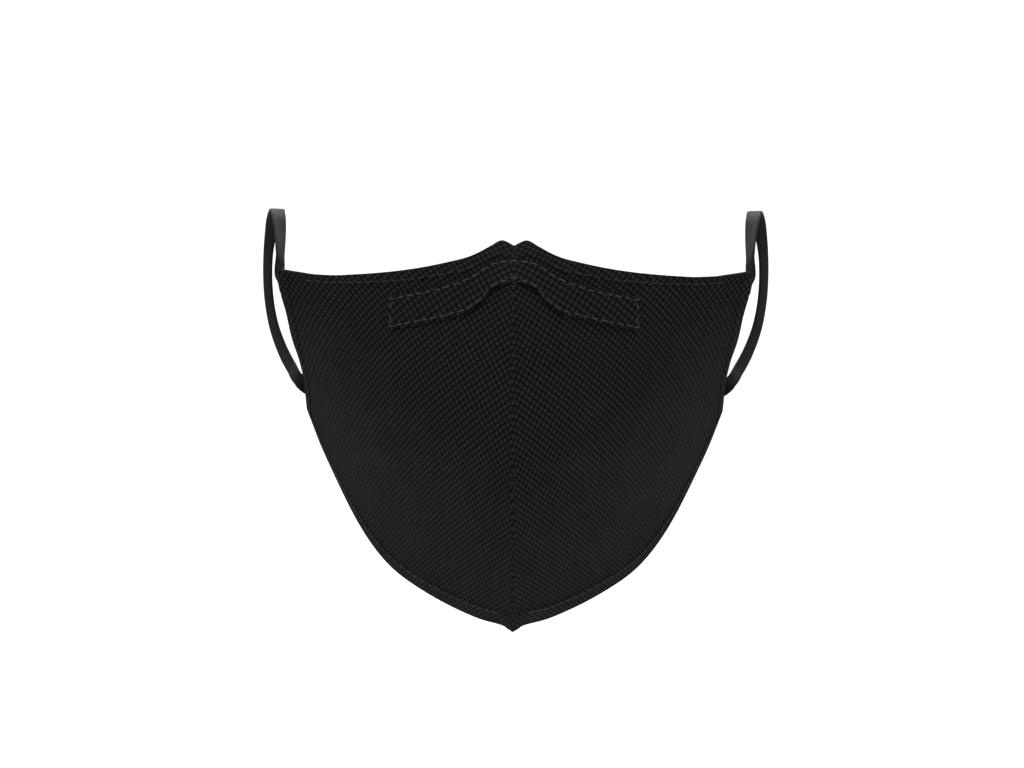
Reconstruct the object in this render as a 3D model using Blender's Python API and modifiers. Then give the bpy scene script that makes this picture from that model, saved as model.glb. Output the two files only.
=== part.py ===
"""Respirator mask: a sewn cloth half mask with a centre seam, hems, a nose wire casing and two ear loops.

Metres, +Z up, front towards -Y. The origin is on the nose bridge, inside the top edge at the centre plane.
"""
import math

import bpy
import numpy as np

MM = 0.001

# driving dimensions, in millimetres
HALF_WIDTH = 75.0
TOP_LENGTH = 78.0
HALF_HEIGHT = 90.0
HALF_GIRTH = 98.0
PANEL_WALL = 1.6
HEM_WALL = 2.3
CASING_WALL = 1.0
SEAM_HALF = 0.6
SEAM_RAISE = 0.3
SEAM_WALL = 0.8
SEAM_REACH = 1.15
RIDGE_ROUND = 1.2
GAP = 0.3
TOP_HEM = 3.2
SIDE_HEM = 4.0
BOTTOM_HEM = 3.6
STRAP_WIDTH = 4.8
STRAP_WALL = 1.0
STRAP_CLEAR = 0.15
STRAP_TAB = (4.2, 0.4, -1.6)
UPPER_SEAT = -12.5
LOWER_SEAT = -45.0
CASING_CLEAR = 0.75

# how finely the pieces are divided
STRAP_STEPS = 48
PANEL_COLUMNS = 18
PANEL_ROWS = 20
HEM_CELLS = 22
HEM_LINES = 3
SEAM_ROWS = 48
CASING_COLUMNS = 16
CASING_ROWS = 6
EDGE_POINTS = 400
SLOPE_STEP = 0.05
MERGE_DISTANCE = 0.00001

# height, front of the seam, slope away from the seam, cubic roll towards the cheek
SECTION_COLUMNS = ("z", "seam_y", "slope", "roll")
SECTIONS = (
    (4.0, 1.5, 0.42, 0.000010),
    (0.0, -2.0, 0.45, 0.000015),
    (-6.0, -7.5, 0.52, 0.000018),
    (-13.0, -12.5, 0.60, 0.000022),
    (-20.0, -16.5, 0.65, 0.000038),
    (-27.0, -19.0, 0.69, 0.000057),
    (-46.0, -21.5, 0.76, 0.000116),
    (-60.0, -21.2, 0.94, 0.000130),
    (-72.0, -16.0, 1.12, 0.000120),
    (-87.0, -5.5, 1.28, 0.000098),
    (-100.0, 6.2, 1.34, 0.000065),
    (-112.0, 19.5, 1.34, 0.000040),
    (-121.0, 30.0, 1.34, 0.000030),
)

# distance from the centre plane, height of the top edge
TOP_COLUMNS = ("x", "z")
TOP_EDGE = (
    (0.0, -0.1),
    (1.4, 0.8),
    (3.7, 1.7),
    (7.35, -0.1),
    (11.0, -2.1),
    (14.7, -3.6),
    (18.4, -4.5),
    (25.8, -6.0),
    (33.3, -7.1),
    (40.9, -7.8),
    (48.6, -8.2),
    (56.3, -8.4),
    (64.2, -8.1),
    (68.2, -7.5),
    (72.2, -6.9),
    (75.0, -6.4),
)

SIDE_COLUMNS = ("x", "z")
SIDE_EDGE = (
    (75.0, -6.4),
    (74.6, -12.3),
    (72.9, -19.9),
    (71.6, -27.4),
    (69.4, -35.1),
    (68.2, -42.0),
    (67.8, -50.7),
)

BOTTOM_COLUMNS = ("x", "z")
BOTTOM_EDGE = (
    (0.0, -120.0),
    (1.7, -119.1),
    (2.6, -118.4),
    (4.3, -117.9),
    (9.3, -117.0),
    (17.4, -114.3),
    (29.5, -108.6),
    (38.8, -102.6),
    (45.0, -96.3),
    (51.6, -86.7),
    (58.3, -73.6),
    (64.2, -60.5),
    (67.8, -50.7),
)

# ear loop on the +X side: place of the strap's middle and the way that its width points
LOOP_COLUMNS = ("x", "y", "z", "width_x", "width_y", "width_z")
LOOP_ROUTE = (
    (75.3, 50.0, -2.0, 0.42, -0.45, 0.78),
    (76.2, 60.0, 6.5, 0.70, -0.35, 0.60),
    (77.4, 69.0, 12.6, 0.95, -0.15, 0.25),
    (78.6, 76.5, 14.4, 1.00, 0.00, 0.00),
    (80.4, 82.5, 10.0, 0.85, 0.50, 0.00),
    (81.8, 85.5, 2.0, 0.66, 0.75, 0.00),
    (82.1, 86.0, -7.0, 0.60, 0.80, 0.00),
    (81.5, 85.5, -15.0, 0.60, 0.80, 0.00),
    (79.9, 84.0, -23.0, 0.60, 0.78, -0.12),
    (76.8, 80.0, -31.0, 0.55, 0.70, -0.40),
    (73.3, 74.0, -37.0, 0.46, 0.60, -0.62),
    (70.3, 68.5, -41.2, 0.38, 0.56, -0.72),
)

CASING_TOP_COLUMNS = ("x", "z")
CASING_TOP = ((0.0, -4.6), (6.0, -5.2), (12.0, -8.6), (22.0, -12.4), (38.6, -15.4))
CASING_LOW_COLUMNS = ("x", "z")
CASING_LOW = ((0.0, -11.2), (6.0, -13.6), (10.0, -18.0), (14.0, -20.8), (38.6, -25.8))


def column(rows, names, name):
    """One named column of a table as an array."""
    return np.array([row[names.index(name)] for row in rows], float)


def smooth(at, xs, ys):
    """Monotone cubic through the points (xs, ys), read at the places in at."""
    at = np.clip(np.asarray(at, float), xs[0], xs[-1])
    step = np.diff(xs)
    slope = np.diff(ys) / step
    inner = np.where(
        slope[:-1] * slope[1:] > 0.0,
        2.0 * slope[:-1] * slope[1:] / np.where(slope[:-1] + slope[1:] == 0.0, 1.0, slope[:-1] + slope[1:]),
        0.0,
    )
    tangent = np.concatenate(([slope[0]], inner, [slope[-1]]))
    i = np.clip(np.searchsorted(xs, at, side="right") - 1, 0, len(xs) - 2)
    h = step[i]
    s = (at - xs[i]) / h
    return (
        ys[i] * (1 + 2 * s) * (1 - s) ** 2
        + h * tangent[i] * s * (1 - s) ** 2
        + ys[i + 1] * s ** 2 * (3 - 2 * s)
        + h * tangent[i + 1] * s ** 2 * (s - 1)
    )


SECTION_UP = SECTIONS[::-1]
SECTION_Z = column(SECTION_UP, SECTION_COLUMNS, "z")
SECTION_SEAM = column(SECTION_UP, SECTION_COLUMNS, "seam_y")
SECTION_SLOPE = column(SECTION_UP, SECTION_COLUMNS, "slope")
SECTION_ROLL = column(SECTION_UP, SECTION_COLUMNS, "roll")


def front(x, z):
    """Depth of the cloth's outer face: a ridge a little round at the seam, then slope and roll to the side."""
    seam = smooth(z, SECTION_Z, SECTION_SEAM)
    slope = smooth(z, SECTION_Z, SECTION_SLOPE)
    roll = smooth(z, SECTION_Z, SECTION_ROLL)
    away = np.sqrt(x ** 2 + RIDGE_ROUND ** 2)
    return seam + slope * away + roll * away ** 3


def outer_normal(x, z):
    """Unit normals of the outer face, pointing out to the front."""
    d = SLOPE_STEP
    dx = (front(x + d, z) - front(x - d, z)) / (2 * d)
    dz = (front(x, z + d) - front(x, z - d)) / (2 * d)
    n = np.stack([dx, -np.ones_like(dx), dz], -1)
    return n / np.linalg.norm(n, axis=-1, keepdims=True)


def edge_path(rows, names, count):
    """Evenly spaced points (x, z) along an edge table."""
    x = column(rows, names, "x")
    z = column(rows, names, "z")
    length = np.concatenate(([0.0], np.cumsum(np.hypot(np.diff(x), np.diff(z)))))
    at = np.linspace(0.0, length[-1], count)
    return np.stack([smooth(at, length, x), smooth(at, length, z)], -1)


def patch(t, v):
    """Points (x, z) of the half mask: t runs from the seam to the side, v from the top edge down."""
    top = edge_path(TOP_EDGE, TOP_COLUMNS, EDGE_POINTS)
    low = edge_path(BOTTOM_EDGE, BOTTOM_COLUMNS, EDGE_POINTS)
    side = edge_path(SIDE_EDGE, SIDE_COLUMNS, EDGE_POINTS)
    ticks = np.linspace(0.0, 1.0, EDGE_POINTS)

    def read(path, at):
        return np.stack([np.interp(at, ticks, path[:, 0]), np.interp(at, ticks, path[:, 1])], -1)

    seam_z = TOP_EDGE[0][1] + v * (BOTTOM_EDGE[0][1] - TOP_EDGE[0][1])
    seam = np.stack([np.zeros_like(v), seam_z], -1)
    t1 = t[..., None]
    v1 = v[..., None]
    corners = (
        (1 - t1) * (1 - v1) * top[0] + t1 * (1 - v1) * top[-1] + (1 - t1) * v1 * low[0] + t1 * v1 * low[-1]
    )
    return (1 - v1) * read(top, t) + v1 * read(low, t) + (1 - t1) * seam + t1 * read(side, v) - corners


def open_sheet(name, material, points, where, turn=False):
    """A mesh object with one open face made of a grid of points in millimetres."""
    rows, columns = points.shape[:2]
    ids = np.arange(rows * columns).reshape(rows, columns)
    quads = np.stack([ids[:-1, :-1], ids[1:, :-1], ids[1:, 1:], ids[:-1, 1:]], -1).reshape(-1, 4)
    if turn:
        quads = quads[:, ::-1]
    mesh = bpy.data.meshes.new(name)
    mesh.from_pydata((points.reshape(-1, 3) * MM).tolist(), [], quads.tolist())
    mesh.materials.append(material)
    obj = bpy.data.objects.new(name, mesh)
    where.objects.link(obj)
    return obj


def add_mirror(obj):
    """The other half across the centre plane."""
    mirror = obj.modifiers.new("other half", "MIRROR")
    mirror.use_axis = (True, False, False)
    mirror.use_mirror_merge = True
    mirror.merge_threshold = MERGE_DISTANCE


def add_wall(obj, wall, offset=-1.0):
    """The thickness of the sheet: offset -1 grows it inwards, 0 to both sides."""
    solidify = obj.modifiers.new("wall", "SOLIDIFY")
    solidify.thickness = wall * MM
    solidify.offset = offset
    solidify.use_even_offset = True


def half_face(t_range, v_range, columns, rows, sign, lift):
    """The outer face of one part of a half, on the side that sign names, raised by lift."""
    t, v = np.meshgrid(np.linspace(*t_range, columns), np.linspace(*v_range, rows))
    place = patch(t, v)
    x = np.maximum(place[..., 0], SEAM_REACH)
    z = place[..., 1]
    points = np.stack([x, front(x, z), z], -1) + outer_normal(x, z) * lift
    points[..., 0] = np.maximum(points[..., 0], SEAM_REACH)
    return points * np.array([sign, 1.0, 1.0])


def material_of(name, colour, roughness):
    """A plain Principled material."""
    made = bpy.data.materials.new(name)
    made.use_nodes = True
    shader = made.node_tree.nodes["Principled BSDF"]
    shader.inputs["Base Color"].default_value = (*colour, 1.0)
    shader.inputs["Roughness"].default_value = roughness
    shader.inputs["Metallic"].default_value = 0.0
    return made


def seam_strip(material, where):
    """The sewn centre seam: a narrow raised band that follows the ridge from the notch to the chin."""
    z = np.linspace(TOP_EDGE[0][1], BOTTOM_EDGE[0][1], SEAM_ROWS)
    grid_x, grid_z = np.meshgrid(np.array([0.0, SEAM_HALF]), z)
    level = np.zeros_like(grid_z)
    points = np.stack([grid_x, front(level, grid_z), grid_z], -1) + outer_normal(level, grid_z) * SEAM_RAISE
    obj = open_sheet("centre_seam", material, points, where)
    add_mirror(obj)
    add_wall(obj, SEAM_WALL)


def nose_casing(material, where):
    """The stitched casing over the nose wire, lying on both panels across the bridge."""
    x = np.linspace(0.0, CASING_TOP[-1][0], CASING_COLUMNS)
    top = smooth(x, column(CASING_TOP, CASING_TOP_COLUMNS, "x"), column(CASING_TOP, CASING_TOP_COLUMNS, "z"))
    low = smooth(x, column(CASING_LOW, CASING_LOW_COLUMNS, "x"), column(CASING_LOW, CASING_LOW_COLUMNS, "z"))
    z = top + np.linspace(0.0, 1.0, CASING_ROWS)[:, None] * (low - top)
    grid_x = np.repeat(x[None, :], CASING_ROWS, axis=0)
    face = np.stack([grid_x, front(grid_x, z), z], -1)
    points = face + outer_normal(grid_x, z) * (CASING_WALL + CASING_CLEAR)
    points[:, 0, 0] = 0.0
    obj = open_sheet("nose_wire_casing", material, points, where)
    add_mirror(obj)
    add_wall(obj, CASING_WALL)


def spline(points, count):
    """Cubic through the rows, each row's tangent the slope between its neighbours."""
    length = np.concatenate(([0.0], np.cumsum(np.linalg.norm(np.diff(points[:, :3], axis=0), axis=1))))
    tangent = np.gradient(points, length, axis=0)
    at = np.linspace(0.0, length[-1], count)
    i = np.clip(np.searchsorted(length, at, side="right") - 1, 0, len(length) - 2)
    h = (length[i + 1] - length[i])[:, None]
    s = ((at - length[i])[:, None]) / h
    return (
        points[i] * (1 + 2 * s) * (1 - s) ** 2
        + h * tangent[i] * s * (1 - s) ** 2
        + points[i + 1] * s ** 2 * (3 - 2 * s)
        + h * tangent[i + 1] * s ** 2 * (s - 1)
    )


def strap_seat(z, inward, facing):
    """Rows of an ear loop's route that lie flat inside the side hem at height z; facing turns the width."""
    rows = []
    side = edge_path(SIDE_EDGE, SIDE_COLUMNS, EDGE_POINTS)
    edge_x = np.interp(-z, -side[:, 1], side[:, 0])
    drop = HEM_WALL + GAP + STRAP_WALL / 2 + STRAP_CLEAR
    for back in inward:
        x = np.array(edge_x - back)
        out = outer_normal(x, np.array(z))
        wide = np.cross(out, np.cross((0.0, 0.0, facing), out))
        place = np.array([x, front(x, np.array(z)), z]) - out * drop
        rows.append((*place, *wide))
    return rows


def ear_loop(name, sign, material, where):
    """A flat elastic band from the upper corner round behind the ear to the lower side edge."""
    first = strap_seat(UPPER_SEAT, STRAP_TAB, 1.0)
    last = strap_seat(LOWER_SEAT, STRAP_TAB[::-1], -1.0)
    rows = spline(np.array(first + list(LOOP_ROUTE) + last, float), STRAP_STEPS)
    middle = rows[:, :3]
    along = np.gradient(middle, axis=0)
    along /= np.linalg.norm(along, axis=1, keepdims=True)
    wide = rows[:, 3:]
    wide = wide - (wide * along).sum(1, keepdims=True) * along
    wide /= np.linalg.norm(wide, axis=1, keepdims=True)
    reach = wide * STRAP_WIDTH / 2
    points = np.stack([middle - reach, middle + reach], 1) * np.array([sign, 1.0, 1.0])
    obj = open_sheet(name, material, points, where, turn=sign < 0)
    add_wall(obj, STRAP_WALL, offset=0.0)


def shares():
    """How much of a half's width and height its hems and gaps take."""
    height = math.dist(SIDE_EDGE[0], SIDE_EDGE[-1])
    return {
        "top": TOP_HEM / TOP_LENGTH,
        "bottom": BOTTOM_HEM / HALF_HEIGHT,
        "side": 1.0 - SIDE_HEM / HALF_GIRTH,
        "gap_v": GAP / height,
        "gap_t": GAP / HALF_WIDTH,
    }


def main():
    """Build every piece."""
    for obj in list(bpy.data.objects):
        bpy.data.objects.remove(obj)
    where = bpy.data.collections.new("respirator_mask")
    bpy.context.scene.collection.children.link(where)
    cloth = material_of("black_cloth", (0.012, 0.012, 0.013), 0.85)
    hem = material_of("black_hem", (0.014, 0.014, 0.015), 0.80)
    casing = material_of("black_casing", (0.013, 0.013, 0.014), 0.82)
    elastic = material_of("black_elastic", (0.010, 0.010, 0.011), 0.60)
    part = shares()
    top_v = (0.0, part["top"])
    low_v = (1.0 - part["bottom"], 1.0)
    mid_v = (part["top"] + part["gap_v"], 1.0 - part["bottom"] - part["gap_v"])
    inner_t = (SEAM_REACH / HALF_WIDTH, part["side"] - part["gap_t"])
    side_t = (part["side"], 1.0)
    pieces = (
        ("panel", cloth, inner_t, mid_v, PANEL_COLUMNS, PANEL_ROWS, PANEL_WALL),
        ("top_hem", hem, inner_t, top_v, HEM_CELLS, HEM_LINES, HEM_WALL),
        ("bottom_hem", hem, inner_t, low_v, HEM_CELLS, HEM_LINES, HEM_WALL),
        ("side_hem", hem, side_t, (0.0, 1.0), HEM_LINES, HEM_CELLS, HEM_WALL),
    )
    for label, sign in (("left", -1.0), ("right", 1.0)):
        for piece, material, t_range, v_range, columns, rows, wall in pieces:
            points = half_face(t_range, v_range, columns, rows, sign, (wall - PANEL_WALL) / 2)
            obj = open_sheet(f"{label}_{piece}", material, points, where, turn=sign < 0)
            add_wall(obj, wall)
        ear_loop(f"{label}_ear_loop", sign, elastic, where)
    seam_strip(hem, where)
    nose_casing(casing, where)


main()
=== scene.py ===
"""Looks of a sewn cloth respirator mask: woven halves, hems, nose casing, stitches and elastic ear loops."""

import bpy
import numpy as np
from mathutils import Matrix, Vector


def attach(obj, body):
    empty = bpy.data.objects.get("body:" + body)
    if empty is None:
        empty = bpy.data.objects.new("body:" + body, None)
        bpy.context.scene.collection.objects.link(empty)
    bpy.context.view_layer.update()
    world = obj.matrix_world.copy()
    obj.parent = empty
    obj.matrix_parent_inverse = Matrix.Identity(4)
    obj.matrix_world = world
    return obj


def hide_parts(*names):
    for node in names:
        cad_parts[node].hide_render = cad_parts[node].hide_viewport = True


bl_info = {
    "name": "Respirator Mask",
    "version": (1, 0, 0),
    "blender": (4, 5, 0),
    "location": "View3D > Sidebar > Mask",
    "description": "Builds a woven cloth respirator mask on its packed frame",
    "category": "Object",
}

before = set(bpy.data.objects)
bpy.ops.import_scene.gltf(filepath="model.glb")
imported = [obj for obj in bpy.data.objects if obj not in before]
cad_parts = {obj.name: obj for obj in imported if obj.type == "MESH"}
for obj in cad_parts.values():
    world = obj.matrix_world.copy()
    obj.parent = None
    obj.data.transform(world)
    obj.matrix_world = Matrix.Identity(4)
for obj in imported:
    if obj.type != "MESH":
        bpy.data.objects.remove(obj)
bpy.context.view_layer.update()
MM = 0.001

# the mask's form, in millimetres; the tables are those of the CAD
GAP = 0.3
SEAM_HALF = 0.5
SEAM_EDGE = 0.05
SEAM_LIFT = 0.1
OVERLAP = 0.02
SECTION_COLUMNS = ("z", "seam_y", "slope", "roll")
SECTIONS = (
    (4.0, 1.5, 0.42, 0.000010),
    (0.0, -2.0, 0.45, 0.000015),
    (-6.0, -7.5, 0.52, 0.000018),
    (-13.0, -12.5, 0.60, 0.000022),
    (-20.0, -16.5, 0.65, 0.000038),
    (-27.0, -19.0, 0.69, 0.000057),
    (-46.0, -21.5, 0.76, 0.000116),
    (-60.0, -21.2, 0.94, 0.000130),
    (-72.0, -16.0, 1.12, 0.000120),
    (-87.0, -5.5, 1.28, 0.000098),
    (-100.0, 6.2, 1.34, 0.000065),
    (-112.0, 19.5, 1.34, 0.000040),
    (-121.0, 30.0, 1.34, 0.000030),
)
EDGE_COLUMNS = ("x", "z")
TOP_EDGE = (
    (0.0, -0.1), (1.4, 0.8), (3.7, 1.7), (7.35, -0.1), (11.0, -2.1), (14.7, -3.6), (18.4, -4.5), (25.8, -6.0),
    (33.3, -7.1), (40.9, -7.8), (48.6, -8.2), (56.3, -8.4), (64.2, -8.1), (68.2, -7.5), (72.2, -6.9),
    (75.0, -6.4),
)
SIDE_EDGE = (
    (75.0, -6.4), (74.6, -12.3), (72.9, -19.9), (71.6, -27.4), (69.4, -35.1), (68.2, -42.0), (67.8, -50.7),
)
BOTTOM_EDGE = (
    (0.0, -120.0), (1.7, -119.1), (2.6, -118.4), (4.3, -117.9), (9.3, -117.0), (17.4, -114.3), (29.5, -108.6),
    (38.8, -102.6), (45.0, -96.3), (51.6, -86.7), (58.3, -73.6), (64.2, -60.5), (67.8, -50.7),
)
CASING_TOP = ((0.0, -4.6), (6.0, -5.2), (12.0, -8.6), (22.0, -12.4), (38.6, -15.4))
CASING_LOW = ((0.0, -11.2), (6.0, -13.6), (10.0, -18.0), (14.0, -20.8), (38.6, -25.8))

# ear loop on the +X side: place of the strap's middle and the way that its width points
LOOP_ROUTE = (
    (75.3, 50.0, -2.0, 0.42, -0.45, 0.78),
    (76.2, 60.0, 6.5, 0.70, -0.35, 0.60),
    (77.4, 69.0, 12.6, 0.95, -0.15, 0.25),
    (78.6, 76.5, 14.4, 1.00, 0.00, 0.00),
    (80.4, 82.5, 10.0, 0.85, 0.50, 0.00),
    (81.8, 85.5, 2.0, 0.66, 0.75, 0.00),
    (82.1, 86.0, -7.0, 0.60, 0.80, 0.00),
    (81.5, 85.5, -15.0, 0.60, 0.80, 0.00),
    (79.9, 84.0, -23.0, 0.60, 0.78, -0.12),
    (76.8, 80.0, -31.0, 0.55, 0.70, -0.40),
    (73.3, 74.0, -37.0, 0.46, 0.60, -0.62),
    (70.3, 68.5, -41.2, 0.38, 0.56, -0.72),
)

# walls, clearances and the share of a half that its hems take
PANEL_WALL = 1.6
HEM_WALL = 2.0
CASING_WALL = 0.7
CASING_CLEAR = 0.02
RIDGE_ROUND = 0.6
SEAM_WALL = 2.2
STRAP_WIDTH = 4.8
STRAP_WALL = 1.0
STRAP_CLEAR = 0.15
STRAP_TAB = (4.2, 0.4, -1.6)
UPPER_SEAT = -12.5
LOWER_SEAT = -45.0
TOP_HEM = 3.2
TOP_LENGTH = 78.0
BOTTOM_HEM = 3.6
HALF_HEIGHT = 90.0
SIDE_HEM = 4.0
HALF_GIRTH = 98.0
TOP_SHARE = TOP_HEM / TOP_LENGTH
BOTTOM_SHARE = BOTTOM_HEM / HALF_HEIGHT
SIDE_SHARE = 1.0 - SIDE_HEM / HALF_GIRTH

# how finely the surfaces are read and divided, and the level line of the cloth's map
SLOPE_STEP = 0.05
EDGE_POINTS = 400
SEAT_POINTS = 200
FLAT_STEPS = 24
LEVEL = -42.0
PANEL_CELLS = 150
HEM_CELLS = 140
HEM_LINES = 9
SEAM_ROWS = 160
SEAM_COLUMNS = 7
RISE_STEP = 0.1
CASING_CELLS = (181, 37)
STRAP_STEPS = 220
STRAP_SIDES = 20

# relief of the cloth, in millimetres: a slanting crease halfway to the cheek and low broad waves
SEAM_CROWN = 0.25
CREASE_DEPTH = 0.45
CREASE_PLACE = (38.0, -44.0)
CREASE_LEAN = 0.9
CREASE_WIDTH = 3.0
CREASE_LENGTH = 12.0
WAVE_DEPTH = 0.18
WAVE_ACROSS = 9.0
WAVE_DOWN = 14.0

# the weave: its grain, thread tops, speckle and the share of colour left in the gaps, which is painted shade
GRAIN_DEGREES = 30.0
THREAD_ACROSS = 0.8
THREAD_ALONG = 0.55
THREAD_WANDER = 0.35
DRIFT_SCALE = 45.0
DRIFT_DETAIL = 2.0
DRIFT_LOW = 0.7
DRIFT_RANGE = 0.6
FIBRE_SCALE = 5200.0
FIBRE_DETAIL = 3.0
FIBRE_HEIGHT = 0.35
SPECK_POWER = 2.0
SPECK_GAIN = 3.9
CROWN_POWER = 1.3
# painted shade in the weave's gaps, as a share of the cloth colour
PAINTED_GAP_SHADE = 0.05
CLOTH_ROUGHNESS = 0.82
HEM_ROUGHNESS = 0.80
CLOTH_SPECULAR = 0.02
CLOTH_BUMP = 0.00035
HEM_RELIEF = 0.6
SEAM_RELIEF = 0.5
CASING_PITCH = 1.1

# thread and elastic
TWIST_SCALE = 6000.0
TWIST_DETAIL = 2.0
TWIST_RELIEF = 0.4
THREAD_ROUGHNESS = 0.5
THREAD_SPECULAR = 0.1
THREAD_BUMP = 0.0001
ELASTIC_RIB = 0.0006
ELASTIC_COURSE = 1.2
COURSE_HEIGHT = 0.5
KNIT_RELIEF = 0.6
ELASTIC_ROUGHNESS = 0.55
ELASTIC_SPECULAR = 0.06
ELASTIC_BUMP = 0.00012
STRAP_CORNER = 0.35

# stitches: half length as a share of the pitch, half height, half width; rows as start, end and place down
STITCH_SIZE = (0.36, 0.14, 0.24)
STITCH_RINGS = 6
STITCH_SIDES = 8
STITCH_REACH = 0.2
LINE_POINTS = 300
TOP_LINE = (0.17, SIDE_SHARE - 0.08, TOP_SHARE * 0.82)
BOTTOM_LINE = (0.05, SIDE_SHARE - 0.02, 1.0 - BOTTOM_SHARE * 0.8)
HEM_STITCH_LIFT = 0.02
CASING_STITCH_LIFT = 0.05
CASING_STITCH_GRID = (241, 21)
CASING_STITCH_ROWS = (2, -3)
CASING_STITCH_ENDS = (3, -4)

# the camera: place in metres, turns in degrees, lens and sensor in millimetres
CAMERA_DISTANCE = 1.043
CAMERA_SIDE = 0.006
CAMERA_YAW = 0.33
CAMERA_ROLL = -0.3
CAMERA_SHIFT = -0.0015
CAMERA_HEIGHT = -0.0422
CAMERA_LENS = 119.9
SENSOR_WIDTH = 36.0

# the sweep, in metres, and the lights: place, size and power
FLOOR_COLOUR = (0.9, 0.9, 0.9, 1.0)
FLOOR_ROUGHNESS = 0.9
FLOOR_HEIGHT = -0.19
FLOOR_HALF = 4.0
FLOOR_FRONT = -3.0
WALL_START = 1.2
WALL_RADIUS = 0.6
WALL_HEIGHT = 3.0
BEND_POINTS = 16
WORLD_STRENGTH = 0.75
LIGHT_AIM = (0.0, 0.03, -0.05)
LIGHTS = (
    ("key", (-1.1, -1.3, 1.1), 1.2, 15.0),
    ("fill", (1.2, -1.2, 0.5), 1.4, 9.0),
    ("top", (0.0, 0.1, 1.6), 1.6, 12.0),
    ("back", (0.0, 0.9, 0.9), 1.2, 14.0),
)


def column(rows, names, name):
    """One named column of a table as an array."""
    return np.array([row[names.index(name)] for row in rows], float)


def smooth(at, xs, ys):
    """Monotone cubic through (xs, ys) at the places in at; a tangent is the harmonic mean of its two slopes."""
    at = np.clip(np.asarray(at, float), xs[0], xs[-1])
    step = np.diff(xs)
    slope = np.diff(ys) / step
    total = slope[:-1] + slope[1:]
    product = slope[:-1] * slope[1:]
    inner = np.where(product > 0.0, 2.0 * product / np.where(total == 0.0, 1.0, total), 0.0)
    tangent = np.concatenate(([slope[0]], inner, [slope[-1]]))
    i = np.clip(np.searchsorted(xs, at, side="right") - 1, 0, len(xs) - 2)
    h = step[i]
    s = (at - xs[i]) / h
    return (
        ys[i] * (1 + 2 * s) * (1 - s) ** 2
        + h * tangent[i] * s * (1 - s) ** 2
        + ys[i + 1] * s ** 2 * (3 - 2 * s)
        + h * tangent[i + 1] * s ** 2 * (s - 1)
    )


SECTION_UP = SECTIONS[::-1]
SECTION_Z = column(SECTION_UP, SECTION_COLUMNS, "z")
SECTION_SEAM = column(SECTION_UP, SECTION_COLUMNS, "seam_y")
SECTION_SLOPE = column(SECTION_UP, SECTION_COLUMNS, "slope")
SECTION_ROLL = column(SECTION_UP, SECTION_COLUMNS, "roll")


def front(x, z):
    """Depth of the outer face: seam depth + slope times |x| + roll times |x| cubed, all read at z."""
    side = np.abs(x)
    seam = smooth(z, SECTION_Z, SECTION_SEAM)
    slope = smooth(z, SECTION_Z, SECTION_SLOPE)
    return seam + slope * side + smooth(z, SECTION_Z, SECTION_ROLL) * side ** 3


def slopes(x, z):
    """How fast the outer face's depth changes with x and with z, by a central difference."""
    d = SLOPE_STEP
    return (front(x + d, z) - front(x - d, z)) / (2 * d), (front(x, z + d) - front(x, z - d)) / (2 * d)


def outer_normal(x, z):
    """Unit normals of the outer face, pointing out to the front."""
    dx, dz = slopes(x, z)
    n = np.stack([dx, -np.ones_like(dx), dz], -1)
    return n / np.linalg.norm(n, axis=-1, keepdims=True)


def edge_path(rows, count):
    """Evenly spaced points (x, z) along an edge table."""
    x = column(rows, EDGE_COLUMNS, "x")
    z = column(rows, EDGE_COLUMNS, "z")
    length = np.concatenate(([0.0], np.cumsum(np.hypot(np.diff(x), np.diff(z)))))
    at = np.linspace(0.0, length[-1], count)
    return np.stack([smooth(at, length, x), smooth(at, length, z)], -1)


def patch(t, v):
    """Coons patch of a half: its four edge curves blended, less the blend of its four corners."""
    top, low, side = (edge_path(rows, EDGE_POINTS) for rows in (TOP_EDGE, BOTTOM_EDGE, SIDE_EDGE))
    ticks = np.linspace(0.0, 1.0, EDGE_POINTS)

    def read(path, at):
        return np.stack([np.interp(at, ticks, path[:, 0]), np.interp(at, ticks, path[:, 1])], -1)

    seam = np.stack([np.zeros_like(v), TOP_EDGE[0][1] + v * (BOTTOM_EDGE[0][1] - TOP_EDGE[0][1])], -1)
    t1 = t[..., None]
    v1 = v[..., None]
    corners = (
        (1 - t1) * (1 - v1) * top[0] + t1 * (1 - v1) * top[-1] + (1 - t1) * v1 * low[0] + t1 * v1 * low[-1]
    )
    return (1 - v1) * read(top, t) + v1 * read(low, t) + (1 - t1) * seam + t1 * read(side, v) - corners


def flat_cloth(x, z):
    """Lengths along the cloth: across at one height from the seam, and down from a level line, in mm."""
    steps = np.linspace(0.0, 1.0, FLAT_STEPS)
    across = np.zeros_like(x)
    down = np.zeros_like(x)
    for a, b in zip(steps[:-1], steps[1:]):
        middle = (a + b) / 2
        dx, _ = slopes(x * middle, z)
        across += np.sqrt(1 + dx ** 2) * np.abs(x) * (b - a)
        height = LEVEL + (z - LEVEL) * middle
        dx, dz = slopes(x, height)
        down += np.sqrt((1 + dx ** 2 + dz ** 2) / (1 + dx ** 2)) * (z - LEVEL) * (b - a)
    return across, down


def mesh_object(name, verts, faces, material, uv=None):
    """A mesh object from points in millimetres, with an optional map of cloth lengths in metres."""
    mesh = bpy.data.meshes.new(name)
    mesh.from_pydata((np.asarray(verts) * MM).tolist(), [], faces)
    mesh.materials.append(material)
    mesh.polygons.foreach_set("use_smooth", np.ones(len(mesh.polygons), bool))
    if uv is not None:
        layer = mesh.uv_layers.new(name="cloth")
        loops = np.empty(len(mesh.loops), np.int32)
        mesh.loops.foreach_get("vertex_index", loops)
        layer.data.foreach_set("uv", (np.asarray(uv)[loops] * MM).ravel())
    obj = bpy.data.objects.new(name, mesh)
    bpy.context.scene.collection.objects.link(obj)
    return obj


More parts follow.
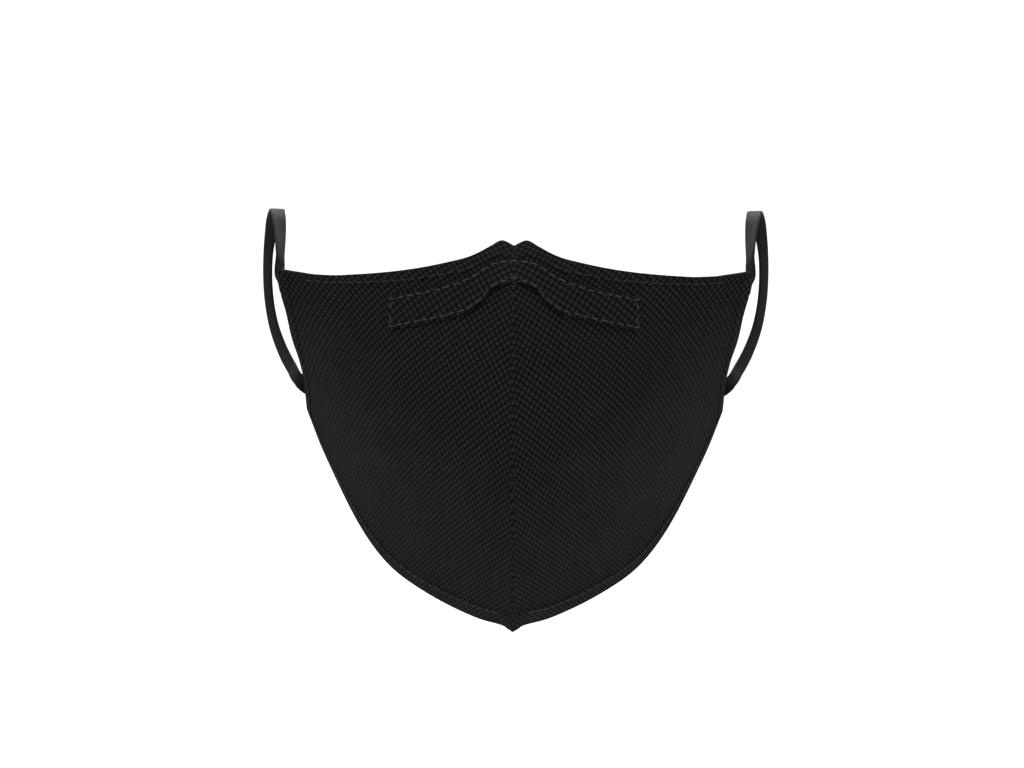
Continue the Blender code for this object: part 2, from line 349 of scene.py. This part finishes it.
def closed_sheet(name, outer, normal, wall, material, lift=0.0, clear=None, uv=None, turn=False):
    """A closed wall: outer grid, the same grid moved inwards by the wall, and a rim of quads."""
    rows, columns = outer.shape[:2]
    count = rows * columns
    top = (outer + normal * lift).reshape(-1, 3)
    low = (outer + normal * (lift - wall)).reshape(-1, 3)
    if clear is not None:
        low[:, 0] = clear * np.maximum(clear * low[:, 0], SEAM_EDGE)
    ids = np.arange(count).reshape(rows, columns)
    quads = np.stack([ids[:-1, :-1], ids[1:, :-1], ids[1:, 1:], ids[:-1, 1:]], -1).reshape(-1, 4)
    rim = np.concatenate([ids[0, :], ids[1:, -1], ids[-1, -2::-1], ids[-2:0:-1, 0]])
    after = np.roll(rim, -1)
    edge = np.stack([rim, after, after + count, rim + count], -1)
    faces = np.concatenate([quads, quads[:, ::-1] + count, edge])
    if turn:
        faces = faces[:, ::-1]
    both = None if uv is None else np.concatenate([uv.reshape(-1, 2)] * 2)
    return mesh_object(name, np.concatenate([top, low]), faces.tolist(), material, both)


def half_piece(name, t_range, v_range, columns, rows, sign, wall, material, dent=None):
    """One part of a half mask, its outer face given by front over a stretch of the Coons patch."""
    t, v = np.meshgrid(np.linspace(*t_range, columns), np.linspace(*v_range, rows))
    place = patch(t, v)
    x = np.maximum(place[..., 0], SEAM_EDGE)
    z = place[..., 1]
    normal = outer_normal(x, z)
    points = np.stack([x, front(x, z), z], -1)
    if dent is not None:
        points = points + normal * dent(x, z, t, v)[..., None]
    if t_range[0] == 0.0:
        normal[:, 0] = normal[:, 0] * (0.0, 1.0, 1.0)
        normal[:, 0] /= np.abs(normal[:, 0, 1:2])
    flip = np.array([sign, 1.0, 1.0])
    across, down = flat_cloth(x, z)
    uv = np.stack([across * sign, down], -1)
    lift = (wall - PANEL_WALL) / 2
    return closed_sheet(name, points * flip, normal * flip, wall, material, lift, sign, uv, sign < 0)


def plain_material(name, roughness, specular):
    """A Principled material with a roughness and a specular level, with its tree and its shader."""
    made = bpy.data.materials.new(name)
    made.use_nodes = True
    shader = made.node_tree.nodes["Principled BSDF"]
    shader.inputs["Roughness"].default_value = roughness
    shader.inputs["Specular IOR Level"].default_value = specular
    return made, made.node_tree, shader


def node_maker(tree):
    """A short way to add a maths node and link its inputs."""

    def add(operation, *inputs):
        node = tree.nodes.new("ShaderNodeMath")
        node.operation = operation
        for socket, value in zip(node.inputs, inputs):
            if isinstance(value, (int, float)):
                socket.default_value = value
            else:
                tree.links.new(value, socket)
        return node.outputs[0]

    return add


def cloth_map(tree):
    """The output of a piece's own map of cloth lengths."""
    uv = tree.nodes.new("ShaderNodeUVMap")
    uv.uv_map = "cloth"
    return uv.outputs[0]


def noise(tree, place, scale, detail):
    """The strength of a noise read at place."""
    node = tree.nodes.new("ShaderNodeTexNoise")
    node.inputs["Scale"].default_value = scale
    node.inputs["Detail"].default_value = detail
    tree.links.new(place, node.inputs["Vector"])
    return node.outputs["Fac"]


def add_bump(tree, shader, height, strength, distance):
    """Tilt the shader's normal by a height."""
    bump = tree.nodes.new("ShaderNodeBump")
    bump.inputs["Strength"].default_value = strength
    bump.inputs["Distance"].default_value = distance
    tree.links.new(height, bump.inputs["Height"])
    tree.links.new(bump.outputs[0], shader.inputs["Normal"])


def woven(name, colour, thread, roughness, sign, strength=1.0):
    """Plain weave on the cloth map: each crossing is a rounded float, warp and weft in turn; the gaps between
    the floats are darkened with painted shade.
    """
    made, tree, shader = plain_material(name, roughness, CLOTH_SPECULAR)
    add = node_maker(tree)
    uv = cloth_map(tree)
    turn = tree.nodes.new("ShaderNodeMapping")
    turn.inputs["Rotation"].default_value = (0.0, 0.0, np.radians(GRAIN_DEGREES) * sign)
    tree.links.new(uv, turn.inputs[0])
    drift = noise(tree, uv, DRIFT_SCALE, DRIFT_DETAIL)
    fibre = noise(tree, uv, FIBRE_SCALE, FIBRE_DETAIL)
    parts = tree.nodes.new("ShaderNodeSeparateXYZ")
    tree.links.new(turn.outputs[0], parts.inputs[0])
    wander = add("MULTIPLY", add("SUBTRACT", drift, 0.5), THREAD_WANDER)
    u = add("ADD", add("DIVIDE", parts.outputs[0], thread), wander)
    v = add("ADD", add("DIVIDE", parts.outputs[1], thread), wander)
    cell = add("MODULO", add("ABSOLUTE", add("ADD", add("FLOOR", u), add("FLOOR", v))), 2.0)
    wave_u = add("ABSOLUTE", add("SINE", add("MULTIPLY", u, np.pi)))
    wave_v = add("ABSOLUTE", add("SINE", add("MULTIPLY", v, np.pi)))
    warp = add("MULTIPLY", add("POWER", wave_u, THREAD_ACROSS), add("POWER", wave_v, THREAD_ALONG))
    weft = add("MULTIPLY", add("POWER", wave_v, THREAD_ACROSS), add("POWER", wave_u, THREAD_ALONG))
    height = add("ADD", add("MULTIPLY", warp, cell), add("MULTIPLY", weft, add("SUBTRACT", 1.0, cell)))
    rough_height = add("ADD", height, add("MULTIPLY", fibre, FIBRE_HEIGHT))
    add_bump(tree, shader, rough_height, strength, CLOTH_BUMP)
    crown = add("POWER", height, CROWN_POWER)
    speck = add("MULTIPLY", add("POWER", fibre, SPECK_POWER), SPECK_GAIN)
    broad = add("ADD", DRIFT_LOW, add("MULTIPLY", drift, DRIFT_RANGE))
    # painted shade: the base colour drops to a small share of the cloth colour in the gaps, and the thread tops
    # keep the full colour
    mix = tree.nodes.new("ShaderNodeMix")
    mix.data_type = "RGBA"
    tree.links.new(add("MULTIPLY", crown, add("MULTIPLY", speck, broad)), mix.inputs["Factor"])
    mix.inputs["A"].default_value = (*[c * PAINTED_GAP_SHADE for c in colour], 1.0)
    mix.inputs["B"].default_value = (*colour, 1.0)
    tree.links.new(mix.outputs["Result"], shader.inputs["Base Color"])
    return made


def plain_thread(name, colour, roughness):
    """Thread: one colour with a fine twist of bump on Object coordinates."""
    made, tree, shader = plain_material(name, roughness, THREAD_SPECULAR)
    shader.inputs["Base Color"].default_value = (*colour, 1.0)
    place = tree.nodes.new("ShaderNodeTexCoord").outputs["Object"]
    add_bump(tree, shader, noise(tree, place, TWIST_SCALE, TWIST_DETAIL), TWIST_RELIEF, THREAD_BUMP)
    return made


def elastic_material(name, colour, roughness, rib):
    """Knitted elastic: ribs along the strap and short courses across it, on the strap's own map."""
    made, tree, shader = plain_material(name, roughness, ELASTIC_SPECULAR)
    add = node_maker(tree)
    parts = tree.nodes.new("ShaderNodeSeparateXYZ")
    tree.links.new(cloth_map(tree), parts.inputs[0])
    ribs = add("ABSOLUTE", add("SINE", add("MULTIPLY", parts.outputs[1], np.pi / rib)))
    courses = add("ABSOLUTE", add("SINE", add("MULTIPLY", parts.outputs[0], np.pi / (rib * ELASTIC_COURSE))))
    height = add("ADD", ribs, add("MULTIPLY", courses, COURSE_HEIGHT))
    add_bump(tree, shader, height, KNIT_RELIEF, ELASTIC_BUMP)
    shader.inputs["Base Color"].default_value = (*colour, 1.0)
    return made


def finish_piece(obj, slot, *nodes):
    """Tie a piece to the frame: it rides on the one body and stands for the CAD nodes."""
    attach(obj, "root")
    if nodes:
        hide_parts(*nodes)


def colour_setting(name, description, value):
    """A colour among the settings."""
    return bpy.props.FloatVectorProperty(name=name, description=description, subtype="COLOR", default=value)


def length_setting(name, description, value):
    """A length among the settings, in metres."""
    return bpy.props.FloatProperty(
        name=name, description=description, subtype="DISTANCE", unit="LENGTH", default=value
    )


class MaskSettings(bpy.types.PropertyGroup):
    """Sizes and colours of the mask's cloth, thread and elastic."""

    cloth_colour: colour_setting("Cloth colour", "Colour of the woven cloth", (0.0165, 0.0165, 0.0170))
    elastic_colour: colour_setting("Elastic colour", "Colour of the ear loops", (0.0034, 0.0034, 0.0037))
    thread_colour: colour_setting("Thread colour", "Colour of the hems' stitches", (0.0120, 0.0120, 0.0126))
    casing_thread_colour: colour_setting(
        "Casing thread", "Colour of the casing's stitches", (0.0260, 0.0260, 0.0270)
    )
    weave_pitch: length_setting("Weave pitch", "Width of one woven cell", 0.00176)
    stitch_pitch: length_setting("Stitch pitch", "Length from stitch to stitch", 0.0033)


def settings():
    """The mask's settings on the scene."""
    return bpy.context.scene.mask_settings


def panel_dent(x, z, t, v):
    """Soft relief of a panel: a faint diagonal crease by the cheek and low broad waves, in mm."""
    off_x = x - CREASE_PLACE[0]
    off_z = z - CREASE_PLACE[1]
    across = (off_x + CREASE_LEAN * off_z) / CREASE_WIDTH
    crease = -CREASE_DEPTH * np.exp(-(across ** 2) - (off_z / CREASE_LENGTH) ** 2)
    inside_t = np.sin(np.pi * np.clip(t, 0, 1))
    inside_v = np.sin(np.pi * np.clip(v, 0, 1))
    waves = WAVE_DEPTH * np.sin(x / WAVE_ACROSS + z / WAVE_DOWN) * inside_t * inside_v
    return (crease + waves) * np.sqrt(inside_t)


class MASK_OT_panels(bpy.types.Operator):
    """Build the two woven halves"""

    bl_idname = "mask.panels"
    bl_label = "Woven halves"

    def execute(self, context):
        s = settings()
        cells = PANEL_CELLS
        for label, sign in (("left", -1.0), ("right", 1.0)):
            cloth = woven(f"{label}_weave", s.cloth_colour, s.weave_pitch, CLOTH_ROUGHNESS, sign)
            t_range = (0.0, SIDE_SHARE + OVERLAP)
            v_range = (TOP_SHARE - OVERLAP, 1.0 - BOTTOM_SHARE + OVERLAP)
            obj = half_piece(
                f"{label}_panel_cloth", t_range, v_range, cells, cells, sign, PANEL_WALL, cloth, panel_dent
            )
            finish_piece(obj, "cloth", f"{label}_panel")
        return {"FINISHED"}


class MASK_OT_hems(bpy.types.Operator):
    """Build the hems and the centre seam"""

    bl_idname = "mask.hems"
    bl_label = "Hems and seam"

    def execute(self, context):
        s = settings()
        long = HEM_CELLS
        inner = (0.0, SIDE_SHARE + OVERLAP)
        for label, sign in (("left", -1.0), ("right", 1.0)):
            cloth = woven(
                f"{label}_hem_weave", s.cloth_colour, s.weave_pitch, HEM_ROUGHNESS, sign, HEM_RELIEF
            )
            pieces = (
                ("top_hem", inner, (0.0, TOP_SHARE), long, HEM_LINES),
                ("bottom_hem", inner, (1.0 - BOTTOM_SHARE, 1.0), long, HEM_LINES),
                ("side_hem", (SIDE_SHARE, 1.0), (0.0, 1.0), HEM_LINES, long),
            )
            for piece, t_range, v_range, columns, rows in pieces:
                node = f"{label}_{piece}"
                obj = half_piece(f"{node}_cloth", t_range, v_range, columns, rows, sign, HEM_WALL, cloth)
                finish_piece(obj, "hem", node)
        z = np.linspace(TOP_EDGE[0][1], BOTTOM_EDGE[0][1], SEAM_ROWS)
        grid_x, grid_z = np.meshgrid(np.linspace(-SEAM_HALF, SEAM_HALF, SEAM_COLUMNS), z)
        above = smooth(z + RISE_STEP, SECTION_Z, SECTION_SEAM)
        below = smooth(z - RISE_STEP, SECTION_Z, SECTION_SEAM)
        normal = np.stack([np.zeros(SEAM_ROWS), -np.ones(SEAM_ROWS), (above - below) / (2 * RISE_STEP)], -1)
        normal /= np.linalg.norm(normal, axis=-1, keepdims=True)
        normals = np.repeat(normal[:, None, :], SEAM_COLUMNS, axis=1)
        crown = -SEAM_CROWN * (1 - (grid_x / SEAM_HALF) ** 2)
        points = np.stack([grid_x, smooth(grid_z, SECTION_Z, SECTION_SEAM) + crown, grid_z], -1)
        uv = np.stack([grid_x, grid_z], -1)
        seam = woven("seam_weave", s.cloth_colour, s.weave_pitch, HEM_ROUGHNESS, 1.0, SEAM_RELIEF)
        obj = closed_sheet("centre_seam_cloth", points, normals, SEAM_WALL, seam, SEAM_LIFT, None, uv)
        finish_piece(obj, "hem", "centre_seam")
        return {"FINISHED"}


def casing_grid(columns, rows):
    """Outer points and normals of the nose casing: front, read a little round at the ridge."""
    reach = CASING_TOP[-1][0]
    x = np.linspace(-reach, reach, columns)
    side = np.abs(x)
    top = smooth(side, column(CASING_TOP, EDGE_COLUMNS, "x"), column(CASING_TOP, EDGE_COLUMNS, "z"))
    low = smooth(side, column(CASING_LOW, EDGE_COLUMNS, "x"), column(CASING_LOW, EDGE_COLUMNS, "z"))
    part = np.linspace(0.0, 1.0, rows)
    z = top + part[:, None] * (low - top)
    grid_x = np.repeat(x[None, :], rows, axis=0)
    rounded = np.sqrt(grid_x ** 2 + RIDGE_ROUND ** 2)
    points = np.stack([grid_x, front(rounded - RIDGE_ROUND, z), z], -1)
    normal = outer_normal(rounded, z)
    normal[..., 0] *= grid_x / rounded
    normal /= np.linalg.norm(normal, axis=-1, keepdims=True)
    return points, normal


class MASK_OT_casing(bpy.types.Operator):
    """Build the stitched casing over the nose wire"""

    bl_idname = "mask.casing"
    bl_label = "Nose casing"

    def execute(self, context):
        s = settings()
        columns, rows = CASING_CELLS
        points, normal = casing_grid(columns, rows)
        across, down = flat_cloth(np.abs(points[..., 0]), points[..., 2])
        uv = np.stack([across, down], -1)
        cloth = woven("casing_weave", s.cloth_colour, s.weave_pitch * CASING_PITCH, HEM_ROUGHNESS, 1.0)
        lift = CASING_WALL + CASING_CLEAR
        obj = closed_sheet("nose_casing_cloth", points, normal, CASING_WALL, cloth, lift, None, uv)
        finish_piece(obj, "casing", "nose_wire_casing")
        return {"FINISHED"}


def spline(points, count):
    """Cubic through the rows, each row's tangent the slope between its neighbours."""
    length = np.concatenate(([0.0], np.cumsum(np.linalg.norm(np.diff(points[:, :3], axis=0), axis=1))))
    tangent = np.gradient(points, length, axis=0)
    at = np.linspace(0.0, length[-1], count)
    i = np.clip(np.searchsorted(length, at, side="right") - 1, 0, len(length) - 2)
    h = (length[i + 1] - length[i])[:, None]
    s = ((at - length[i])[:, None]) / h
    return (
        points[i] * (1 + 2 * s) * (1 - s) ** 2
        + h * tangent[i] * s * (1 - s) ** 2
        + points[i + 1] * s ** 2 * (3 - 2 * s)
        + h * tangent[i + 1] * s ** 2 * (s - 1)
    )


def strap_seat(z, inward, facing):
    """Rows of an ear loop's route that lie flat inside the side hem at height z; facing turns the width."""
    rows = []
    side = edge_path(SIDE_EDGE, SEAT_POINTS)
    edge_x = np.interp(-z, -side[:, 1], side[:, 0])
    drop = HEM_WALL + GAP + STRAP_WALL / 2 + STRAP_CLEAR
    for back in inward:
        x = np.array(edge_x - back)
        out = outer_normal(x, np.array(z))
        wide = np.cross(out, np.cross((0.0, 0.0, facing), out))
        place = np.array([x, front(x, np.array(z)), z]) - out * drop
        rows.append((*place, *wide))
    return rows


def strap(name, sign, material, steps):
    """A flat band: a rectangle with soft corners (a superellipse) carried along the loop's route."""
    first = strap_seat(UPPER_SEAT, STRAP_TAB, 1.0)
    last = strap_seat(LOWER_SEAT, STRAP_TAB[::-1], -1.0)
    rows = spline(np.array(first + list(LOOP_ROUTE) + last, float), steps)
    middle = rows[:, :3]
    along = np.gradient(middle, axis=0)
    along /= np.linalg.norm(along, axis=1, keepdims=True)
    wide = rows[:, 3:] - (rows[:, 3:] * along).sum(1, keepdims=True) * along
    wide /= np.linalg.norm(wide, axis=1, keepdims=True)
    flat = np.cross(along, wide)
    angle = np.linspace(0.0, 2 * np.pi, STRAP_SIDES, endpoint=False)
    a = np.sign(np.cos(angle)) * np.abs(np.cos(angle)) ** STRAP_CORNER * STRAP_WIDTH / 2
    b = np.sign(np.sin(angle)) * np.abs(np.sin(angle)) ** STRAP_CORNER * STRAP_WALL / 2
    rings = middle[:, None] + wide[:, None] * a[None, :, None] + flat[:, None] * b[None, :, None]
    verts = rings.reshape(-1, 3) * np.array([sign, 1.0, 1.0])
    length = np.concatenate(([0.0], np.cumsum(np.linalg.norm(np.diff(middle, axis=0), axis=1))))
    uv = np.stack([np.repeat(length, STRAP_SIDES), np.tile(a, steps)], -1)
    ids = np.arange(steps * STRAP_SIDES).reshape(steps, STRAP_SIDES)
    after = np.roll(ids, -1, axis=1)
    quads = np.stack([ids[:-1], after[:-1], after[1:], ids[1:]], -1).reshape(-1, 4)
    faces = quads.tolist() + [ids[0][::-1].tolist(), ids[-1].tolist()]
    if sign < 0:
        faces = [face[::-1] for face in faces]
    return mesh_object(name, verts, faces, material, uv)


class MASK_OT_loops(bpy.types.Operator):
    """Build the two elastic ear loops"""

    bl_idname = "mask.loops"
    bl_label = "Ear loops"

    def execute(self, context):
        s = settings()
        elastic = elastic_material("elastic", s.elastic_colour, ELASTIC_ROUGHNESS, ELASTIC_RIB)
        for label, sign in (("left", -1.0), ("right", 1.0)):
            obj = strap(f"{label}_ear_loop_band", sign, elastic, STRAP_STEPS)
            finish_piece(obj, "elastic", f"{label}_ear_loop")
        return {"FINISHED"}


def stitches(name, paths, pitch, material):
    """Stitches: small ellipsoids, each laid along a path and pressed onto the cloth by its normal."""
    polar = np.linspace(0.0, np.pi, STITCH_RINGS)
    turn = np.linspace(0.0, 2 * np.pi, STITCH_SIDES, endpoint=False)
    unit = np.stack(
        [
            np.repeat(np.cos(polar), STITCH_SIDES),
            (np.sin(polar)[:, None] * np.cos(turn)).ravel(),
            (np.sin(polar)[:, None] * np.sin(turn)).ravel(),
        ],
        -1,
    )
    ids = np.arange(STITCH_RINGS * STITCH_SIDES).reshape(STITCH_RINGS, STITCH_SIDES)
    after = np.roll(ids, -1, axis=1)
    quads = np.stack([ids[:-1], after[:-1], after[1:], ids[1:]], -1).reshape(-1, 4)
    verts, faces = [], []
    size = np.array([pitch * STITCH_SIZE[0], STITCH_SIZE[1], STITCH_SIZE[2]])
    base = 0
    for points, normal in paths:
        length = np.concatenate(([0.0], np.cumsum(np.linalg.norm(np.diff(points, axis=0), axis=1))))
        count = max(int(length[-1] / pitch), 1)
        at = (np.arange(count) + 0.5) * length[-1] / count
        centre = np.stack([np.interp(at, length, points[:, k]) for k in range(3)], -1)
        up = np.stack([np.interp(at, length, normal[:, k]) for k in range(3)], -1)
        ahead = np.stack([np.interp(at + STITCH_REACH, length, points[:, k]) for k in range(3)], -1)
        behind = np.stack([np.interp(at - STITCH_REACH, length, points[:, k]) for k in range(3)], -1)
        along = ahead - behind
        along /= np.linalg.norm(along, axis=1, keepdims=True)
        up -= (up * along).sum(1, keepdims=True) * along
        up /= np.linalg.norm(up, axis=1, keepdims=True)
        side = np.cross(up, along)
        local = unit * size
        cloud = (
            centre[:, None]
            + along[:, None] * local[None, :, 0:1]
            + up[:, None] * local[None, :, 1:2]
            + side[:, None] * local[None, :, 2:3]
        )
        verts.append(cloud.reshape(-1, 3))
        shift = base + np.arange(count)[:, None, None] * len(unit)
        faces.append((quads[None] + shift).reshape(-1, 4))
        base += count * len(unit)
    return mesh_object(name, np.concatenate(verts), np.concatenate(faces).tolist(), material)


def hem_line(t_values, v_values, sign, lift):
    """A stitch path on the outer face of a half, from its place on the Coons patch."""
    place = patch(t_values, v_values)
    x = np.maximum(place[..., 0], SEAM_EDGE)
    z = place[..., 1]
    normal = outer_normal(x, z)
    flip = np.array([sign, 1.0, 1.0])
    return (np.stack([x, front(x, z), z], -1) + normal * lift) * flip, normal * flip


class MASK_OT_stitches(bpy.types.Operator):
    """Sew the hems and the nose casing"""

    bl_idname = "mask.stitches"
    bl_label = "Stitches"

    def execute(self, context):
        s = settings()
        thread = plain_thread("thread", s.thread_colour, THREAD_ROUGHNESS)
        pitch = s.stitch_pitch / MM
        paths = []
        lift = (HEM_WALL - PANEL_WALL) / 2 + HEM_STITCH_LIFT
        for sign in (-1.0, 1.0):
            for start, end, v in (TOP_LINE, BOTTOM_LINE):
                t = np.linspace(start, end, LINE_POINTS)
                paths.append(hem_line(t, np.full_like(t, v), sign, lift))
        points, normal = casing_grid(*CASING_STITCH_GRID)
        raised = points + normal * (CASING_WALL + CASING_CLEAR + CASING_STITCH_LIFT)
        around = [(raised[row], normal[row]) for row in CASING_STITCH_ROWS]
        around += [(raised[2:-2, end], normal[2:-2, end]) for end in CASING_STITCH_ENDS]
        finish_piece(stitches("hem_topstitch", paths, pitch, thread), "hem")
        clear_thread = plain_thread("casing_thread", s.casing_thread_colour, THREAD_ROUGHNESS)
        finish_piece(stitches("casing_topstitch", around, pitch, clear_thread), "casing")
        return {"FINISHED"}


class MASK_OT_stage(bpy.types.Operator):
    """Set the pale sweep, the soft lights and the camera"""

    bl_idname = "mask.stage"
    bl_label = "Stage"

    def execute(self, context):
        pale = bpy.data.materials.new("pale_floor")
        pale.use_nodes = True
        shader = pale.node_tree.nodes["Principled BSDF"]
        shader.inputs["Base Color"].default_value = FLOOR_COLOUR
        shader.inputs["Roughness"].default_value = FLOOR_ROUGHNESS
        bend = np.linspace(0.0, np.pi / 2, BEND_POINTS)
        wall_y = WALL_START + WALL_RADIUS * np.sin(bend)
        wall_z = WALL_RADIUS * (1 - np.cos(bend))
        flat_y = np.concatenate(([FLOOR_FRONT], wall_y, [WALL_START + WALL_RADIUS]))
        flat_z = FLOOR_HEIGHT + np.concatenate(([0.0], wall_z, [WALL_HEIGHT]))
        x = np.array([-FLOOR_HALF, FLOOR_HALF])
        verts = np.stack([np.tile(x, len(flat_y)), np.repeat(flat_y, 2), np.repeat(flat_z, 2)], -1)
        ids = np.arange(len(verts)).reshape(-1, 2)
        faces = np.stack([ids[:-1, 0], ids[:-1, 1], ids[1:, 1], ids[1:, 0]], -1)
        sweep = mesh_object("pale_sweep", verts / MM, faces.tolist(), pale)
        for name, place, size, power in LIGHTS:
            data = bpy.data.lights.new(name, "AREA")
            data.size = size
            data.energy = power
            light = bpy.data.objects.new(name, data)
            light.location = place
            aim = np.array(LIGHT_AIM) - np.array(place)
            light.rotation_euler = Vector(aim).to_track_quat("-Z", "Y").to_euler()
            bpy.context.scene.collection.objects.link(light)
        world = bpy.data.worlds.new("pale_world")
        world.use_nodes = True
        world.node_tree.nodes["Background"].inputs["Color"].default_value = (1.0, 1.0, 1.0, 1.0)
        world.node_tree.nodes["Background"].inputs["Strength"].default_value = WORLD_STRENGTH
        bpy.context.scene.world = world
        data = bpy.data.cameras.new("camera")
        data.lens = CAMERA_LENS
        data.sensor_width = SENSOR_WIDTH
        data.shift_x = CAMERA_SHIFT
        data.dof.use_dof = False
        camera = bpy.data.objects.new("camera", data)
        camera.location = (CAMERA_SIDE, -CAMERA_DISTANCE, CAMERA_HEIGHT)
        camera.rotation_euler = (np.pi / 2, np.radians(CAMERA_ROLL), np.radians(CAMERA_YAW))
        bpy.context.scene.collection.objects.link(camera)
        bpy.context.scene.camera = camera
        bpy.context.scene.view_settings.view_transform = "Standard"
        return {"FINISHED"}


class MASK_PT_panel(bpy.types.Panel):
    """Sidebar list of the mask's pieces"""

    bl_idname = "MASK_PT_panel"
    bl_label = "Respirator Mask"
    bl_space_type = "VIEW_3D"
    bl_region_type = "UI"
    bl_category = "Mask"

    def draw(self, context):
        for name in MaskSettings.__annotations__:
            self.layout.prop(context.scene.mask_settings, name)
        for operator in OPERATORS:
            self.layout.operator(operator.bl_idname)


OPERATORS = (MASK_OT_panels, MASK_OT_hems, MASK_OT_casing, MASK_OT_loops, MASK_OT_stitches, MASK_OT_stage)


def register():
    """Register the classes and the settings."""
    for item in (MaskSettings, *OPERATORS, MASK_PT_panel):
        bpy.utils.register_class(item)
    bpy.types.Scene.mask_settings = bpy.props.PointerProperty(type=MaskSettings)


def unregister():
    """Take the classes and the settings away."""
    del bpy.types.Scene.mask_settings
    for item in (MASK_PT_panel, *OPERATORS[::-1], MaskSettings):
        bpy.utils.unregister_class(item)


def main():
    """Build every piece and the stage."""
    register()
    bpy.ops.mask.panels()
    bpy.ops.mask.hems()
    bpy.ops.mask.casing()
    bpy.ops.mask.loops()
    bpy.ops.mask.stitches()
    bpy.ops.mask.stage()


if __name__ == "__main__":
    main()
